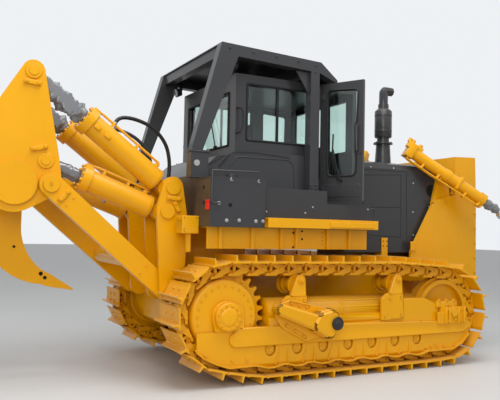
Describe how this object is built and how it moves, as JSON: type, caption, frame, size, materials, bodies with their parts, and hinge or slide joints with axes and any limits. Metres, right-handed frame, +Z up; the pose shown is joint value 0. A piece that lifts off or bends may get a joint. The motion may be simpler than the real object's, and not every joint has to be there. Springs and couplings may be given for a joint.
{
  "type": "track bulldozer with ripper",
  "caption": "Track bulldozer with enclosed cab under a protective frame, steel tracks, radiator guard with lift cylinders, no blade, and a raised single-shank rear ripper.",
  "frame": {"origin": "on the ground under the middle of the machine's outer box", "axes": "+X forward, +Y to the machine's left, +Z up"},
  "size_m": [6.819, 3.0334, 3.745],
  "materials": {
    "yellow_paint": "glossy",
    "grey_paint": "satin",
    "cab_glass": "clear, tinted",
    "chrome_rod": "polished",
    "seat_cover": "woven",
    "black_plastic": "matte",
    "engine_iron": "painted"
  },
  "bodies": {
    "machine": {"belly_guard": "yellow_paint", "cab_glass": "cab_glass", "cab_shell": "grey_paint", "controls": "black_plastic", "deck_frame": "yellow_paint", "engine": "engine_iron", "equalizer_bar": "yellow_paint", "exhaust": "grey_paint", "final_drives": "yellow_paint", "fuel_tank": "grey_paint", "grille": "yellow_paint", "hood": "grey_paint", "hull": "yellow_paint", "idlers": "yellow_paint", "radiator_guard": "yellow_paint", "ripper_bracket": "yellow_paint", "rollers_left": "yellow_paint", "rollers_right": "yellow_paint", "rops": "grey_paint", "seat": "seat_cover", "side_boxes_left": "grey_paint", "side_boxes_right": "grey_paint", "sprockets": "yellow_paint", "steps": "yellow_paint", "track_frame_left": "yellow_paint", "track_frame_right": "yellow_paint", "track_left": "yellow_paint", "track_right": "yellow_paint", "trunnions": "yellow_paint"},
    "ripper_arm": {"ripper_arm": "yellow_paint"},
    "arm_pins": {"arm_pins": "yellow_paint"},
    "ripper_frame": {"ripper_frame": "yellow_paint", "shank": "yellow_paint", "tooth": "yellow_paint"},
    "tilt_barrels": {"tilt_barrels": "yellow_paint"},
    "tilt_rods": {"tilt_rods": "chrome_rod"},
    "lift_barrels": {"lift_barrels": "yellow_paint"},
    "lift_rods": {"lift_rods": "chrome_rod"},
    "door_right": {"door_right": "grey_paint", "door_right_glass": "cab_glass"},
    "door_left": {"door_left": "grey_paint", "door_left_glass": "cab_glass"},
    "blade_barrel_right": {"blade_barrel_right": "yellow_paint"},
    "blade_barrel_left": {"blade_barrel_left": "yellow_paint"},
    "blade_rod_right": {"blade_rod_right": "chrome_rod"},
    "blade_rod_left": {"blade_rod_left": "chrome_rod"}
  },
  "joints": [
    {"name": "ripper_lift", "type": "hinge", "parent": "machine", "child": "ripper_arm", "pos_m": [-1.46459, 0, 0.95], "axis": [0, -1, 0], "range_deg": [0, 60]},
    {"name": "frame_level", "type": "hinge", "parent": "ripper_arm", "child": "arm_pins", "pos_m": [-2.75459, 0, 2.078], "axis": [0, -1, 0], "range_deg": [-60.5, 0]},
    {"name": "ripper_pitch", "type": "hinge", "parent": "arm_pins", "child": "ripper_frame", "pos_m": [-2.75459, 0, 2.078], "axis": [0, 1, 0], "range_deg": [-12, 20]},
    {"name": "tilt_swing", "type": "hinge", "parent": "machine", "child": "tilt_barrels", "pos_m": [-1.45459, 0, 2.107], "axis": [0, -1, 0], "range_deg": [0, 54.34]},
    {"name": "tilt_stroke", "type": "slide", "parent": "tilt_barrels", "child": "tilt_rods", "axis": [-0.7957, 0, 0.6057], "range_m": [-0.2839, 0.1708]},
    {"name": "lift_swing", "type": "hinge", "parent": "machine", "child": "lift_barrels", "pos_m": [-1.51459, 0, 1.841], "axis": [0, -1, 0], "range_deg": [0, 57.66]},
    {"name": "lift_stroke", "type": "slide", "parent": "lift_barrels", "child": "lift_rods", "axis": [-0.9358, 0, 0.3525], "range_m": [0, 0.6397]},
    {"name": "door_right_swing", "type": "hinge", "parent": "machine", "child": "door_right", "pos_m": [0.37741, -0.858, 2.7], "axis": [0, 0, 1], "range_deg": [-36, 64]},
    {"name": "door_left_swing", "type": "hinge", "parent": "machine", "child": "door_left", "pos_m": [0.37741, 0.858, 2.7], "axis": [0, 0, 1], "range_deg": [0, 100]},
    {"name": "blade_swing_right", "type": "hinge", "parent": "machine", "child": "blade_barrel_right", "pos_m": [2.56541, -0.75, 2.47], "axis": [0.3795, 0.9252, 0], "range_deg": [-5, 30]},
    {"name": "blade_stroke_right", "type": "slide", "parent": "blade_barrel_right", "child": "blade_rod_right", "axis": [0.782, -0.3207, -0.5344], "range_m": [-0.05, 0.9]},
    {"name": "blade_swing_left", "type": "hinge", "parent": "machine", "child": "blade_barrel_left", "pos_m": [2.56541, 0.75, 2.47], "axis": [-0.3795, 0.9252, 0], "range_deg": [-5, 30]},
    {"name": "blade_stroke_left", "type": "slide", "parent": "blade_barrel_left", "child": "blade_rod_left", "axis": [0.782, 0.3207, -0.5344], "range_m": [-0.05, 0.9]}
  ],
  "couplings": [
    {"joint": "frame_level", "follows": "ripper_lift", "ratio": -1},
    {"joint": "tilt_swing", "follows": "ripper_lift", "ratio": 0.8973},
    {"joint": "lift_swing", "follows": "ripper_lift", "ratio": 0.9526},
    {"joint": "lift_stroke", "follows": "ripper_lift", "m_per_rad": 0.6099},
    {"joint": "tilt_stroke", "follows": "ripper_pitch", "m_per_rad": -0.8105}
  ]
}
